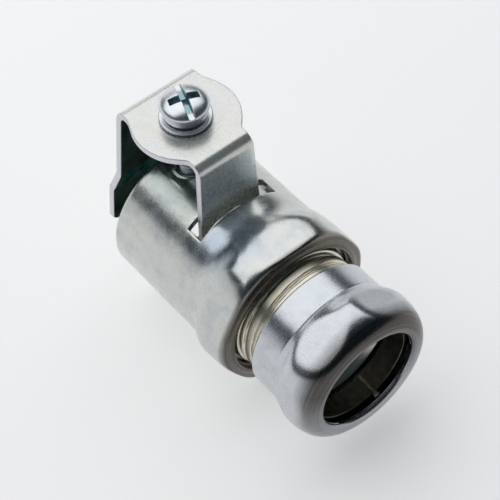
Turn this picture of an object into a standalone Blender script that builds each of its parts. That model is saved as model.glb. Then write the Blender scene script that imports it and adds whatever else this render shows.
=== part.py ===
"""Steel combination coupling: EMT compression nut at one end, cable saddle clamp at the other.

Lengths are in millimetres; new_object() turns them into metres. The conduit axis runs along X,
the compression nut points to +X, and the saddle clamp's screw stands along +Z. Shapes are made
in the fitting's own frame, with the conduit axis at y = z = 0 and x = 0 a little behind the hex
collar. One empty then carries everything so that the world origin is under the middle of the
whole fitting, on the surface it rests on.
"""
import math

import bmesh
import bpy
from mathutils import Matrix, Vector

MM = 0.001
TAU = 2.0 * math.pi

# Clearances
SEAT_GAP = 0.3               # under the screw's head and under its washer

# Cable sleeve and its hex collar, one drawn steel shell
SLEEVE_RADIUS = 13.6
SLEEVE_WALL = 1.2
SLEEVE_REAR_X = -18.2
FLARE_X = 2.0                # the shell starts to widen here
COLLAR_PEAK_X = 7.4
COLLAR_RADIUS = 15.35
COLLAR_APOTHEM = 14.3        # half the width across the collar's flats
COLLAR_FRONT_X = 11.6
COLLAR_LIP_X = 11.0
COLLAR_OPENING = 12.2
COLLAR_LIP_CREST = 13.1      # radius where the rolled front is furthest forward
COLLAR_SHOULDER = ((9.8, 15.35), (11.6, 14.7))      # curve handles from peak to lip crest
COLLAR_INNER_SHOULDER = ((8.8, 14.15), (10.0, 13.6))
COLLAR_LIP_DEPTH = 1.1       # the lip's thickness along X
COLLAR_FLAT_ANGLE = -90.0    # degrees about +X from +Y: one flat faces straight down

# Cross slot in the sleeve's crown, and the tapped hole behind it
SLOT_REAR_X = -5.6
SLOT_FRONT_X = -2.2
SLOT_HALF_WIDTH = 7.8
SCREW_X = -14.2
TAP_BOSS_RADIUS = 3.1
TAP_BOSS_DEPTH = 2.8         # the hole's drawn collar reaches this far under the crown
TAP_BOSS_ROUND = 0.3
TAP_MOUTH_DEPTH = 0.45       # the countersunk mouth starts this far under the crown

# Threaded nipple
NIPPLE_REAR_X = 5.0
FLANGE_RADIUS = 12.8         # wider than the collar's opening, so the nipple can't come out
FLANGE_WALL = 1.2
FLANGE_FRONT_X = 9.4
BEAD_RADIUS = 11.5
BEAD_END_X = 10.9
NIPPLE_ROOT = 10.55
NIPPLE_CREST = 11.1
NIPPLE_FRONT_X = 21.9
NIPPLE_BORE = 9.2
STOP_BORE = 8.2
STOP_LENGTH = 1.0
NIPPLE_CHAMFER = 0.25
SEAT_DEPTH = 1.1             # the 45 degree seat for the compression ring

# Coarse thread shared by nipple and nut, right hand
BODY_PITCH = 2.117           # twelve threads to the inch
BODY_THREAD_START_X = 12.0
BODY_THREAD_TURNS = 4.0
BODY_CREST_HALF = 0.45
BODY_THREAD_GAP = 0.16

# Compression nut
NUT_REAR_X = 15.05
NUT_SKIRT_END_X = 19.6
SKIRT_RADIUS = 12.05
NUT_PEAK_X = 24.0
NUT_RADIUS = 13.3
NUT_APOTHEM = 12.35          # half the width across the nut's flats
NUT_FRONT_X = 29.5
NUT_LIP_CREST = 10.3
NUT_OPENING = 9.15
NUT_SWELL = ((21.4, 12.05), (22.2, 13.3))           # curve handles from skirt to peak
NUT_SHOULDER = ((26.8, 13.3), (29.4, 12.4))         # from peak to lip crest
NUT_INNER_SHOULDER = ((27.7, 11.33), (28.4, 10.4))
NUT_INNER_STRAIGHT_X = 26.4
NUT_LIP_ROUND = ((-0.2, 0.35), (-0.75, 0.0))        # from the front, and from the opening
NUT_LIP_REAR_X = 28.4
NUT_THREAD_MAJOR = 11.33
NUT_THREAD_MINOR = 10.85
NUT_THREAD_TURNS = 1.75
NUT_FLAT_ANGLE = 60.0

# Compression ring
RING_REAR_X = 23.3
RING_LENGTH = 3.9
RING_BORE = 9.15
RING_RADIUS = 10.75
RING_CONE = 1.0
RING_SPLIT = 1.2
RING_SPLIT_ANGLE = -70.0

# Saddle clamp, bent from one strip
STRAP = 1.2
PLATE_TOP_Z = 24.8           # raised, as it is when a cable is about to go in
PLATE_RADIUS = 8.9
FRONT_LEG_X = 10.2           # outer face of the front leg, from the screw
REAR_LEG_X = -8.6            # outer face of the rear leg, from the screw
BEND_RADIUS = 2.0            # outside radius of the bends
FRONT_LEG_HALF = 5.3
FRONT_TIP_HALF = 6.0
FRONT_TIP_Z = 7.8
FRONT_BITE_RADIUS = 7.9
FRONT_BITE_RISE = 3.2
REAR_LEG_HALF = 7.3
REAR_TIP_HALF = 10.6
REAR_TIP_Z = -1.5
REAR_ARCH_RADIUS = 7.8
REAR_ARCH_Z = -4.5
JOGGLE = 2.0
JOGGLE_TOP_Z = 10.9
JOGGLE_BOTTOM_Z = 6.0
CORNER_CHAMFER = 0.8
CLAMP_HOLE_RADIUS = 2.5

# Screw, number 8 with 32 threads to the inch, and its washer
SCREW_PITCH = 0.79375
SCREW_CREST = 2.05
SCREW_ROOT = 1.56
SCREW_LENGTH = 15.9
SCREW_LEAD_IN = 0.9          # from the tip to the middle of the first thread
SCREW_NECK = 0.6             # plain length under the head
TAP_MAJOR = 2.25
TAP_MINOR = 1.80
TAP_TURNS = 1.75
HEAD_RADIUS = 4.05
HEAD_BASE_RADIUS = 3.55
HEAD_SIDE = 2.0
HEAD_HEIGHT = 3.6
SLOT_WIDTH = 1.15
SLOT_DEPTH = 1.3
CROSS_WIDTH = 1.25
CROSS_LENGTH = 4.9
CROSS_DEPTH = 2.2
PIT_RADIUS = 1.35            # the cross recess's conical middle
PIT_FLOOR_RADIUS = 0.6
DRIVE_ANGLE = -19.0          # degrees of the slot about +Z from +X
WASHER_RADIUS = 4.3
WASHER_BORE = 2.4
WASHER_THICKNESS = 0.45

# Facets
BODY_SEGMENTS = 60
BORE_SEGMENTS = 40
SCREW_SEGMENTS = 24
WASHER_SEGMENTS = 32

# The frame's place in the world
BACK_X = SCREW_X + REAR_LEG_X - JOGGLE
ORIGIN_X = 0.5 * (BACK_X + NUT_FRONT_X)
AXIS_HEIGHT = COLLAR_APOTHEM


def clear_scene():
    for obj in list(bpy.data.objects):
        bpy.data.objects.remove(obj, do_unlink=True)


def make_material(name, colour, roughness, metallic=1.0):
    material = bpy.data.materials.new(name)
    material.use_nodes = True
    shader = material.node_tree.nodes["Principled BSDF"]
    shader.inputs["Base Color"].default_value = (*colour, 1.0)
    shader.inputs["Roughness"].default_value = roughness
    shader.inputs["Metallic"].default_value = metallic
    return material


def new_object(name, bm, material, parent, location=(0.0, 0.0, 0.0)):
    """Turn a bmesh in millimetres into an object in metres, facing out."""
    bmesh.ops.recalc_face_normals(bm, faces=bm.faces)
    bmesh.ops.scale(bm, vec=(MM, MM, MM), verts=bm.verts)
    mesh = bpy.data.meshes.new(name)
    bm.to_mesh(mesh)
    bm.free()
    mesh.shade_smooth()
    mesh.set_sharp_from_angle(angle=math.radians(30.0))
    mesh.materials.append(material)
    obj = bpy.data.objects.new(name, mesh)
    bpy.context.collection.objects.link(obj)
    obj.parent = parent
    obj.location = Vector(location) * MM
    return obj


def helper(name, bm, target):
    """A cutter or a ridge: placed with its target, and left out of the fitting itself."""
    obj = new_object(name, bm, target.data.materials[0], target.parent, target.location / MM)
    obj.hide_render = True
    obj.display_type = "WIRE"
    return obj


def combine(target, tool, operation):
    modifier = target.modifiers.new(f"{operation.lower()} {tool.name}", "BOOLEAN")
    modifier.operation = operation
    modifier.object = tool


def bezier(p0, c0, c1, p1, count):
    """Points of a cubic curve after p0, up to and with p1."""
    points = []
    for i in range(1, count + 1):
        t = i / count
        w = ((1 - t) ** 3, 3 * t * (1 - t) ** 2, 3 * t * t * (1 - t), t ** 3)
        points.append(tuple(sum(k * p[a] for k, p in zip(w, (p0, c0, c1, p1))) for a in (0, 1)))
    return points


def flat_limited(radius, apothem, angle, flat_angle):
    """The radius at an angle, cut down where one of six flats lies further in."""
    if apothem is None:
        return radius
    away = math.remainder(math.radians(angle - flat_angle), TAU / 6.0)
    return min(radius, apothem / math.cos(away))


def place(axis, along, radius, angle):
    """A point at a distance along an axis and a radius and angle around it."""
    u, v = radius * math.cos(angle), radius * math.sin(angle)
    return (along, u, v) if axis == "X" else (u, v, along)


def spin(profile, segments, axis="X", closed=True, thread=None, flat_angle=0.0):
    """A body of revolution from a profile of (along, radius) or (along, radius, apothem).

    A closed profile goes round into a tube; an open one starts and ends on the axis. thread is
    (index, wall): the stretch after that profile point carries the screw thread `wall`.
    """
    bm = bmesh.new()
    rings = [spin_ring(bm, point, segments, axis, flat_angle) for point in profile]
    last = len(rings) if closed else len(rings) - 1
    for i in range(last):
        ring, following = rings[i], rings[(i + 1) % len(rings)]
        if thread and thread[0] == i:
            thread_between(bm, ring, following, axis, thread[1])
        else:
            bridge(bm, ring, following, segments)
    return bm


def spin_ring(bm, point, segments, axis, flat_angle):
    along, radius = point[0], point[1]
    apothem = point[2] if len(point) > 2 else None
    if radius == 0.0:
        return [bm.verts.new(place(axis, along, 0.0, 0.0))]
    ring = []
    for step in range(segments):
        angle = 360.0 * step / segments
        r = flat_limited(radius, apothem, angle, flat_angle)
        ring.append(bm.verts.new(place(axis, along, r, math.radians(angle))))
    return ring


def bridge(bm, ring, following, segments):
    for step in range(segments):
        nxt = (step + 1) % segments
        corners = [ring[step % len(ring)], ring[nxt % len(ring)]]
        corners += [following[nxt % len(following)], following[step % len(following)]]
        bm.faces.new(list(dict.fromkeys(corners)))


def thread_between(bm, ring, following, axis, wall):
    """Join two rings by a right-hand thread; `wall` is (start, pitch, turns, rows, root, crest).

    rows are (offset, on crest) from the foot of the tooth to its other foot. The tooth grows
    out of the root over its first quarter turn and goes back into it over its last.
    """
    start, pitch, turns, rows, root, crest = wall
    steps = len(ring)
    total = round(turns * steps)
    sections = []
    for m in range(total + 1):
        rise = min(1.0, 4.0 * m / steps, 4.0 * (total - m) / steps)
        tip = root + (crest - root) * rise
        along = start + pitch * m / steps
        angle = TAU * (m % steps) / steps
        sections.append([bm.verts.new(place(axis, along + offset, tip if on_crest else root, angle))
                         for offset, on_crest in rows])
    for m in range(total):
        this, after = sections[m], sections[m + 1]
        for a, b, c, d in zip(this, this[1:], after[1:], after):
            bm.faces.new((a, b, c, d))
    for m in range(total - steps):
        low_a, low_b = sections[m][-1], sections[m + 1][-1]
        bm.faces.new((low_a, low_b, sections[m + steps + 1][0], sections[m + steps][0]))
    for m in range(steps - 1):
        bm.faces.new((ring[m], ring[m + 1], sections[m + 1][0], sections[m][0]))
    fan(bm, sections[steps - 1][0], [ring[-1], ring[0], *sections[0], sections[steps][0]])
    for m in range(total - steps + 1, total):
        corners = (sections[m][-1], sections[m + 1][-1])
        bm.faces.new((*corners, following[(m + 1) % steps], following[m % steps]))
    column = total % steps
    seam = [sections[total - steps][-1], *sections[total], following[column]]
    fan(bm, sections[total - steps + 1][-1], [*seam, following[(column + 1) % steps]])


def fan(bm, apex, chain):
    for a, b in zip(chain, chain[1:]):
        bm.faces.new((apex, a, b))


def flat_tooth(root, crest, crest_half):
    """Rows of a coarse tooth with flanks at 45 degrees and a flat crest."""
    foot = crest_half + abs(crest - root)
    return [(-foot, False), (-crest_half, True), (crest_half, True), (foot, False)]


def vee_tooth(pitch):
    """Rows of a fine V tooth, with a narrow root between one turn and the next."""
    foot = 0.46 * pitch
    return [(-foot, False), (0.0, True), (foot, False)]


def box(low, high):
    bm = bmesh.new()
    bmesh.ops.create_cube(bm, size=1.0)
    size = [h - l for l, h in zip(low, high)]
    middle = [0.5 * (h + l) for l, h in zip(low, high)]
    bmesh.ops.scale(bm, vec=size, verts=bm.verts)
    bmesh.ops.translate(bm, vec=middle, verts=bm.verts)
    return bm


def sleeve_profile():
    """Closed outline of the drawn shell: outside from rim to lip, then inside back to the rim."""
    middle_x = 0.5 * (FLARE_X + COLLAR_PEAK_X)
    peak = (COLLAR_PEAK_X, COLLAR_RADIUS)
    lip_crest = (COLLAR_FRONT_X, COLLAR_LIP_CREST)
    outer = [(SLEEVE_REAR_X, SLEEVE_RADIUS), (FLARE_X, SLEEVE_RADIUS)]
    outer += bezier(outer[-1], (middle_x, SLEEVE_RADIUS), (middle_x, COLLAR_RADIUS), peak, 4)
    outer += bezier(peak, *COLLAR_SHOULDER, lip_crest, 5)
    outer.append((COLLAR_LIP_X, COLLAR_OPENING))
    inner_radius = SLEEVE_RADIUS - SLEEVE_WALL
    inner_peak = (COLLAR_PEAK_X, COLLAR_RADIUS - SLEEVE_WALL)
    inner_lip = (COLLAR_LIP_X - COLLAR_LIP_DEPTH, COLLAR_OPENING)
    inner = [(SLEEVE_REAR_X, inner_radius), (FLARE_X + 0.2, inner_radius)]
    inner += bezier(inner[-1], (middle_x, inner_radius), (middle_x, inner_peak[1]), inner_peak, 3)
    inner += bezier(inner_peak, *COLLAR_INNER_SHOULDER, inner_lip, 4)
    outside = [(x, r, COLLAR_APOTHEM) for x, r in outer]
    inside = [(x, r, COLLAR_APOTHEM - SLEEVE_WALL) for x, r in reversed(inner)]
    return outside + inside


def make_sleeve(material, frame):
    shell = spin(sleeve_profile(), BODY_SEGMENTS, flat_angle=COLLAR_FLAT_ANGLE)
    sleeve = new_object("flex_sleeve", shell, material, frame)
    at_screw = (SCREW_X, 0.0, 0.0)
    boss_top = SLEEVE_RADIUS - 0.5 * SLEEVE_WALL
    boss_base = SLEEVE_RADIUS - TAP_BOSS_DEPTH
    boss = spin([(boss_base, 0.0), (boss_base, TAP_BOSS_RADIUS - TAP_BOSS_ROUND),
                 (boss_base + TAP_BOSS_ROUND, TAP_BOSS_RADIUS), (boss_top, TAP_BOSS_RADIUS),
                 (boss_top, 0.0)], SCREW_SEGMENTS, "Z", closed=False)
    bmesh.ops.translate(boss, vec=at_screw, verts=boss.verts)
    combine(sleeve, helper("tap_boss", boss, sleeve), "UNION")
    tap = tapped_hole(boss_base)
    bmesh.ops.translate(tap, vec=at_screw, verts=tap.verts)
    combine(sleeve, helper("tapped_hole", tap, sleeve), "DIFFERENCE")
    slot = box((SLOT_REAR_X, -SLOT_HALF_WIDTH, 0.5 * SLEEVE_RADIUS),
               (SLOT_FRONT_X, SLOT_HALF_WIDTH, SLEEVE_RADIUS + 1.0))
    combine(sleeve, helper("cross_slot", slot, sleeve), "DIFFERENCE")
    return sleeve


def screw_thread_start():
    return head_seat() - SCREW_LENGTH + SCREW_LEAD_IN


def head_seat():
    """Height of the underside of the screw's head."""
    return PLATE_TOP_Z + WASHER_THICKNESS + 2.0 * SEAT_GAP


def tapped_hole(boss_base):
    """The space of a tapped hole, its thread half a pitch away from the screw's own."""
    lowest = boss_base + 0.54 * SCREW_PITCH
    turns_up = math.ceil((lowest - screw_thread_start()) / SCREW_PITCH - 0.5)
    start = screw_thread_start() + (turns_up + 0.5) * SCREW_PITCH
    wall = (start, SCREW_PITCH, TAP_TURNS, vee_tooth(SCREW_PITCH), TAP_MAJOR, TAP_MINOR)
    top = SLEEVE_RADIUS - TAP_MOUTH_DEPTH
    profile = [(boss_base - 1.0, 0.0), (boss_base - 1.0, TAP_MAJOR), (top, TAP_MAJOR),
               (top + 2.0, TAP_MAJOR + 1.6), (top + 2.0, 0.0)]
    return spin(profile, SCREW_SEGMENTS, "Z", closed=False, thread=(1, wall))


def make_nipple(material, frame):
    shoulder = FLANGE_RADIUS - 0.5
    seat_x = NIPPLE_FRONT_X - SEAT_DEPTH
    stop_x = FLANGE_FRONT_X + 0.6
    inside = FLANGE_RADIUS - FLANGE_WALL
    tip = NIPPLE_ROOT - NIPPLE_CHAMFER
    profile = [(NIPPLE_REAR_X, FLANGE_RADIUS), (FLANGE_FRONT_X - 0.6, FLANGE_RADIUS),
               (FLANGE_FRONT_X, shoulder), (FLANGE_FRONT_X, BEAD_RADIUS),
               (BEAD_END_X - 0.3, BEAD_RADIUS), (BEAD_END_X, NIPPLE_ROOT),
               (NIPPLE_FRONT_X - NIPPLE_CHAMFER, NIPPLE_ROOT), (NIPPLE_FRONT_X, tip),
               (NIPPLE_FRONT_X, NIPPLE_BORE + SEAT_DEPTH - 0.15), (seat_x + 0.15, NIPPLE_BORE),
               (stop_x + 0.4, NIPPLE_BORE), (stop_x, STOP_BORE),
               (stop_x - STOP_LENGTH, STOP_BORE), (stop_x - STOP_LENGTH - 0.6, inside),
               (NIPPLE_REAR_X, inside)]
    rows = flat_tooth(NIPPLE_ROOT, NIPPLE_CREST, BODY_CREST_HALF)
    wall = (BODY_THREAD_START_X, BODY_PITCH, BODY_THREAD_TURNS, rows, NIPPLE_ROOT, NIPPLE_CREST)
    shell = spin(profile, BORE_SEGMENTS, thread=(5, wall))
    return new_object("threaded_nipple", shell, material, frame)


def nut_profile():
    """Closed outline of the nut: outside from lip to skirt, then inside back to the lip."""
    peak = (NUT_PEAK_X, NUT_RADIUS)
    outer = [(NUT_REAR_X, SKIRT_RADIUS), (NUT_SKIRT_END_X, SKIRT_RADIUS)]
    outer += bezier(outer[-1], *NUT_SWELL, peak, 4)
    outer += bezier(peak, *NUT_SHOULDER, (NUT_FRONT_X, NUT_LIP_CREST), 5)
    outer += [(NUT_FRONT_X + x, NUT_OPENING + r) for x, r in NUT_LIP_ROUND]
    inner = [(NUT_REAR_X, NUT_THREAD_MAJOR), (NUT_INNER_STRAIGHT_X, NUT_THREAD_MAJOR)]
    inner += bezier(inner[-1], *NUT_INNER_SHOULDER, (NUT_LIP_REAR_X, NUT_OPENING), 3)
    return [(x, r, NUT_APOTHEM) for x, r in outer] + list(reversed(inner))


def make_nut(material, carrier):
    nipple_half = BODY_CREST_HALF + NIPPLE_CREST - NUT_THREAD_MINOR
    tip_half = 0.5 * BODY_PITCH - nipple_half - BODY_THREAD_GAP * math.sqrt(2.0)
    rows = flat_tooth(NUT_THREAD_MAJOR, NUT_THREAD_MINOR, tip_half)
    foot = rows[-1][0]
    turns_in = math.ceil((NUT_REAR_X + foot + 0.1 - BODY_THREAD_START_X) / BODY_PITCH - 0.5)
    start = BODY_THREAD_START_X + (turns_in + 0.5) * BODY_PITCH
    wall = (start, BODY_PITCH, NUT_THREAD_TURNS, rows, NUT_THREAD_MAJOR, NUT_THREAD_MINOR)
    profile = nut_profile()
    profile.reverse()
    shell = spin(profile, BODY_SEGMENTS, thread=(0, wall), flat_angle=NUT_FLAT_ANGLE)
    return new_object("compression_nut", shell, material, carrier)


def make_ring(material, carrier):
    front_x = RING_REAR_X + RING_LENGTH
    rim = RING_RADIUS - RING_CONE
    profile = [(RING_REAR_X, rim), (RING_REAR_X + RING_CONE, RING_RADIUS),
               (front_x - RING_CONE, RING_RADIUS), (front_x, rim),
               (front_x, RING_BORE), (RING_REAR_X, RING_BORE)]
    ring = new_object("compression_ring", spin(profile, BORE_SEGMENTS), material, carrier)
    split = box((RING_REAR_X - 1.0, 0.0, -0.5 * RING_SPLIT),
                (front_x + 1.0, RING_RADIUS + 1.0, 0.5 * RING_SPLIT))
    turn = Matrix.Rotation(math.radians(RING_SPLIT_ANGLE), 4, "X")
    bmesh.ops.transform(split, matrix=turn, verts=split.verts)
    combine(ring, helper("ring_split", split, ring), "DIFFERENCE")
    return ring


def strap_path():
    """Outer face of the strap in the XZ plane from the rear tip to the front tip, with widths."""
    rear, front, top = REAR_LEG_X, FRONT_LEG_X, PLATE_TOP_Z

    def rear_half(z):
        share = (top - z) / (top - REAR_TIP_Z)
        return REAR_LEG_HALF + share * (REAR_TIP_HALF - REAR_LEG_HALF)

    def front_half(z):
        share = (top - z) / (top - FRONT_TIP_Z)
        return FRONT_LEG_HALF + share * (FRONT_TIP_HALF - FRONT_LEG_HALF)

    points = [(rear - JOGGLE, REAR_TIP_Z, REAR_TIP_HALF - CORNER_CHAMFER)]
    for z in (REAR_TIP_Z + CORNER_CHAMFER, JOGGLE_BOTTOM_Z):
        points.append((rear - JOGGLE, z, rear_half(z)))
    points.append((rear, JOGGLE_TOP_Z, rear_half(JOGGLE_TOP_Z)))
    bend_steps = 5
    for i in range(bend_steps + 1):
        a = 0.5 * math.pi * i / bend_steps
        x = rear + BEND_RADIUS * (1.0 - math.cos(a))
        points.append((x, top - BEND_RADIUS * (1.0 - math.sin(a)), REAR_LEG_HALF))
    disc_steps = 14
    start, end = rear + BEND_RADIUS, front - BEND_RADIUS
    for i in range(1, disc_steps):
        x = start + (end - start) * i / disc_steps
        points.append((x, top, plate_half(x)))
    for i in range(bend_steps + 1):
        a = 0.5 * math.pi * (1.0 - i / bend_steps)
        x = front - BEND_RADIUS * (1.0 - math.cos(a))
        z = top - BEND_RADIUS * (1.0 - math.sin(a))
        points.append((x, z, FRONT_LEG_HALF))
    points.append((front, FRONT_TIP_Z, front_half(FRONT_TIP_Z)))
    return points


def plate_half(x):
    """Half the plate's width: a disc about the screw that runs into the two legs."""
    leg = REAR_LEG_HALF if x < 0.0 else FRONT_LEG_HALF
    inside = PLATE_RADIUS ** 2 - x * x
    return max(leg, math.sqrt(inside)) if inside > 0.0 else leg


def path_normals(points):
    """Unit normals of the strap's outer face in the XZ plane, mean of the two segments."""
    normals = []
    for i in range(len(points)):
        sides = []
        for a, b in ((i - 1, i), (i, i + 1)):
            if a < 0 or b >= len(points):
                continue
            dx, dz = points[b][0] - points[a][0], points[b][1] - points[a][1]
            size = math.hypot(dx, dz)
            sides.append((-dz / size, dx / size))
        nx = sum(s[0] for s in sides) / len(sides)
        nz = sum(s[1] for s in sides) / len(sides)
        reach = nx * nx + nz * nz
        normals.append((nx / reach, nz / reach))
    return normals


def make_clamp(material, carrier):
    points = strap_path()
    bm = bmesh.new()
    rows = []
    for (x, z, half), (nx, nz) in zip(points, path_normals(points)):
        inner_x, inner_z = x - nx * STRAP, z - nz * STRAP
        rows.append([bm.verts.new((x, -half, z)), bm.verts.new((x, half, z)),
                     bm.verts.new((inner_x, half, inner_z)), bm.verts.new((inner_x, -half, inner_z))])
    for this, following in zip(rows, rows[1:]):
        for k in range(4):
            m = (k + 1) % 4
            bm.faces.new((this[k], this[m], following[m], following[k]))
    bm.faces.new(rows[0])
    bm.faces.new(list(reversed(rows[-1])))
    clamp = new_object("saddle_clamp", bm, material, carrier)
    hole = rod(PLATE_TOP_Z - 3.0, PLATE_TOP_Z + 1.0, CLAMP_HOLE_RADIUS, SCREW_SEGMENTS, "Z")
    combine(clamp, helper("clamp_hole", hole, clamp), "DIFFERENCE")
    bite_x = FRONT_LEG_X - STRAP - 1.0
    bite = rod(bite_x, bite_x + 4.0, FRONT_BITE_RADIUS, BORE_SEGMENTS, "X")
    bite_z = FRONT_TIP_Z + FRONT_BITE_RISE - FRONT_BITE_RADIUS
    bmesh.ops.translate(bite, vec=(0.0, 0.0, bite_z), verts=bite.verts)
    combine(clamp, helper("front_bite", bite, clamp), "DIFFERENCE")
    arch_x = REAR_LEG_X - JOGGLE - 1.0
    arch = rod(arch_x, arch_x + 6.0, REAR_ARCH_RADIUS, BORE_SEGMENTS, "X")
    bmesh.ops.translate(arch, vec=(0.0, 0.0, REAR_ARCH_Z), verts=arch.verts)
    combine(clamp, helper("rear_arch", arch, clamp), "DIFFERENCE")
    return clamp


def rod(low, high, radius, segments, axis):
    return spin([(low, 0.0), (low, radius), (high, radius), (high, 0.0)], segments, axis, False)


def make_washer(material, carrier):
    low = PLATE_TOP_Z + SEAT_GAP
    high = low + WASHER_THICKNESS
    profile = [(low, WASHER_BORE), (low, WASHER_RADIUS), (high, WASHER_RADIUS), (high, WASHER_BORE)]
    return new_object("screw_washer", spin(profile, WASHER_SEGMENTS, "Z"), material, carrier)


def make_screw(material, carrier):
    seat = head_seat()
    tip = seat - SCREW_LENGTH
    top = seat + HEAD_HEIGHT
    shank_end = seat - SCREW_NECK
    turns = math.floor(4.0 * (shank_end - 0.3 - screw_thread_start()) / SCREW_PITCH) / 4.0
    wall = (screw_thread_start(), SCREW_PITCH, turns, vee_tooth(SCREW_PITCH), SCREW_ROOT, SCREW_CREST)
    widest = (seat + HEAD_SIDE, HEAD_RADIUS)
    profile = [(tip, 0.0), (tip, SCREW_ROOT - 0.3), (tip + 0.3, SCREW_ROOT),
               (shank_end, SCREW_ROOT), (seat, SCREW_ROOT), (seat, HEAD_BASE_RADIUS), widest]
    profile += bezier(widest, (widest[0] + 0.8, HEAD_RADIUS), (top, 2.6), (top, 0.0), 5)
    shape = spin(profile, SCREW_SEGMENTS, "Z", closed=False, thread=(2, wall))
    screw = new_object("clamp_screw", shape, material, carrier)
    cut_recess(screw, top)
    return screw


def cut_recess(screw, top):
    """One full-width slot and a shorter cross slot, deeper in the middle."""
    long_slot = box((-HEAD_RADIUS - 1.0, -0.5 * SLOT_WIDTH, top - SLOT_DEPTH),
                    (HEAD_RADIUS + 1.0, 0.5 * SLOT_WIDTH, top + 1.0))
    cross = box((-0.5 * CROSS_WIDTH, -0.5 * CROSS_LENGTH, top - SLOT_DEPTH - 0.1),
                (0.5 * CROSS_WIDTH, 0.5 * CROSS_LENGTH, top + 1.0))
    floor = top - CROSS_DEPTH
    pit = spin([(floor, 0.0), (floor, PIT_FLOOR_RADIUS), (top - 0.3, PIT_RADIUS),
                (top + 0.5, PIT_RADIUS), (top + 0.5, 0.0)], SCREW_SEGMENTS // 2, "Z", closed=False)
    turn = Matrix.Rotation(math.radians(DRIVE_ANGLE), 4, "Z")
    for name, cutter in (("drive_slot", long_slot), ("drive_cross", cross), ("drive_pit", pit)):
        bmesh.ops.transform(cutter, matrix=turn, verts=cutter.verts)
        combine(screw, helper(name, cutter, screw), "DIFFERENCE")


def empty(name, parent=None, location=(0.0, 0.0, 0.0)):
    obj = bpy.data.objects.new(name, None)
    bpy.context.collection.objects.link(obj)
    obj.parent = parent
    obj.location = Vector(location) * MM
    return obj


def build():
    clear_scene()
    zinc = make_material("zinc_plate", (0.62, 0.64, 0.66), 0.32)
    warm_zinc = make_material("warm_zinc_plate", (0.66, 0.63, 0.52), 0.35)
    ring_steel = make_material("ring_steel", (0.40, 0.41, 0.42), 0.40)
    screw_zinc = make_material("screw_zinc", (0.72, 0.74, 0.77), 0.22)
    frame = empty("fitting_frame", location=(-ORIGIN_X, 0.0, AXIS_HEIGHT))
    make_sleeve(zinc, frame)
    make_nipple(warm_zinc, frame)
    nut_axis = empty("nut_axis", frame)
    make_nut(zinc, nut_axis)
    make_ring(ring_steel, nut_axis)
    screw_axis = empty("screw_axis", frame, (SCREW_X, 0.0, 0.0))
    make_clamp(zinc, screw_axis)
    make_washer(screw_zinc, screw_axis)
    make_screw(screw_zinc, screw_axis)


build()
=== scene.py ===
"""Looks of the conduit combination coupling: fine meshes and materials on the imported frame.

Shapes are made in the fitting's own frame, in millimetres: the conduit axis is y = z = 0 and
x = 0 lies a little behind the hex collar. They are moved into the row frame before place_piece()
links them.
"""

import math

import bmesh
import bpy
import numpy as np
from mathutils import Matrix, Vector


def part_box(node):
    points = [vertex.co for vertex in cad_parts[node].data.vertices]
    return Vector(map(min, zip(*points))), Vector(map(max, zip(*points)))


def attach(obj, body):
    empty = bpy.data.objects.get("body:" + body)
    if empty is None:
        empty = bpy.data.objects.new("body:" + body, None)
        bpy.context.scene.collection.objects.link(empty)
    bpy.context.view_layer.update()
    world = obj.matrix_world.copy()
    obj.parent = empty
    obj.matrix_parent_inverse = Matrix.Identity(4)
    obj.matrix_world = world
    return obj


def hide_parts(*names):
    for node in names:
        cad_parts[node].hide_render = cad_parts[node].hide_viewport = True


MM = 0.001
TAU = 2.0 * math.pi

# Sleeve and hex collar; points are (x, radius), lengths in millimetres, angles in degrees
SLEEVE_RADIUS = 13.6
SLEEVE_WALL = 1.2
SLEEVE_REAR_X = -18.2
SLEEVE_COLUMNS = 240
SLEEVE_STEP = SLEEVE_RADIUS * TAU / SLEEVE_COLUMNS
COLLAR_RADIUS = 15.35
COLLAR_APOTHEM = 14.3           # half the width across the flats
COLLAR_FLAT_ANGLE = -90.0       # one flat faces straight down
COLLAR_OPENING = 12.2
COLLAR_LIP_DEPTH = 0.9
FLARE = (0.4, SLEEVE_RADIUS)    # where the barrel starts to swell
COLLAR_SWELL = ((3.5, SLEEVE_RADIUS), (4.6, COLLAR_RADIUS))     # curve handles
COLLAR_PEAK = (7.4, COLLAR_RADIUS)
COLLAR_SHOULDER = ((9.4, COLLAR_RADIUS), (10.7, 15.1))
COLLAR_CREASE = (11.0, 14.35)   # where the flats end and the dished front begins
COLLAR_DISH = ((11.25, 13.9), (11.1, 13.4))
COLLAR_FRONT = (11.45, COLLAR_OPENING + 0.75)
COLLAR_LIP = ((11.7, 12.6), (11.6, COLLAR_OPENING))
COLLAR_END = (10.8, COLLAR_OPENING)
BLUE_REFLECTION_CENTRE = (2.0, -5.0, 12.8)  # (x, y, z) of the centre of the painted blue reflection
SLOT_X = (-5.6, -2.2)
SLOT_HALF_ANGLE = 34.5

# Tapped hole in the sleeve; pairs are (distance from the screw, height over the shell)
SCREW_X = -14.2
TAP_PATCH_HALF = 4.25
TAP_RING = 3.3
TAP_RIM = ((3.25, 0.0), (3.1, 0.05), (2.95, 0.14), (2.75, 0.17), (2.55, 0.1), (2.4, -0.08),
           (2.3, -0.3))
TAP_DEPTH = 2.8
TAP_RADIUS = 2.2
TAP_GROOVE = 0.17               # half the depth of the tapped thread
BOSS_RADIUS = 3.1
BOSS_FOOT = ((2.5, -TAP_DEPTH - 0.05), (BOSS_RADIUS - 0.2, -TAP_DEPTH + 0.05),
             (BOSS_RADIUS, -TAP_DEPTH + 0.3), (BOSS_RADIUS, -SLEEVE_WALL - 0.2))

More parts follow.
